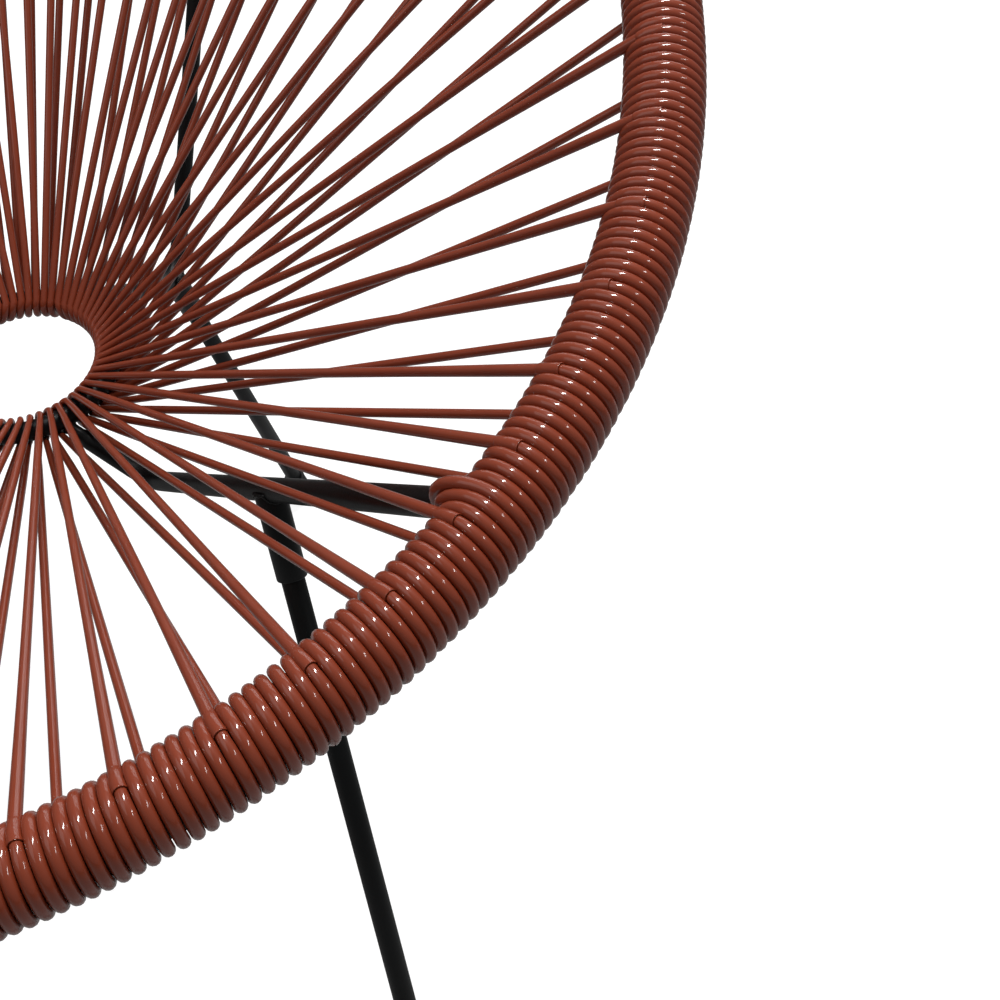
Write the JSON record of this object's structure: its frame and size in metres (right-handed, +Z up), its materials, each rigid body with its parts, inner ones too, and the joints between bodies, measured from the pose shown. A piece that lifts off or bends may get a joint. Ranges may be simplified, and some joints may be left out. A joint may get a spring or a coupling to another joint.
{
  "type": "lounge chair",
  "caption": "Round lounge chair: egg-shaped tubular hoop wound with plastic cord, stretched cords running to a centre ring, on a three-legged steel rod base.",
  "frame": {"origin": "on the floor, under the middle of the hoop", "axes": "+Z up, -Y the front of the seat, +X to the right of someone looking at the front"},
  "size_m": [0.7442, 0.8308, 0.8863],
  "materials": {
    "cord": "extruded plastic cord, glossy",
    "steel": "black powder coat, satin",
    "cap": "moulded rubber, matt"
  },
  "bodies": {
    "root": {"hoop_tube": "steel", "centre_ring": "steel", "strut_right": "steel", "strut_left": "steel", "back_strut": "steel", "leg_socket_right": "steel", "leg_right": "steel", "foot_cap_right": "cap", "leg_socket_left": "steel", "leg_left": "steel", "foot_cap_left": "cap", "leg_socket_rear": "steel", "leg_rear": "steel", "foot_cap_rear": "cap", "cord_01": "cord", "cord_02": "cord", "cord_03": "cord", "cord_04": "cord", "cord_05": "cord", "cord_06": "cord", "cord_07": "cord", "cord_08": "cord", "cord_09": "cord", "cord_10": "cord", "cord_11": "cord", "cord_12": "cord", "cord_13": "cord", "cord_14": "cord", "cord_15": "cord", "cord_16": "cord", "cord_17": "cord", "cord_18": "cord", "cord_19": "cord", "cord_20": "cord", "cord_21": "cord", "cord_22": "cord", "cord_23": "cord", "cord_24": "cord", "cord_25": "cord", "cord_26": "cord", "cord_27": "cord", "cord_28": "cord", "cord_29": "cord", "cord_30": "cord"}
  },
  "joints": []
}
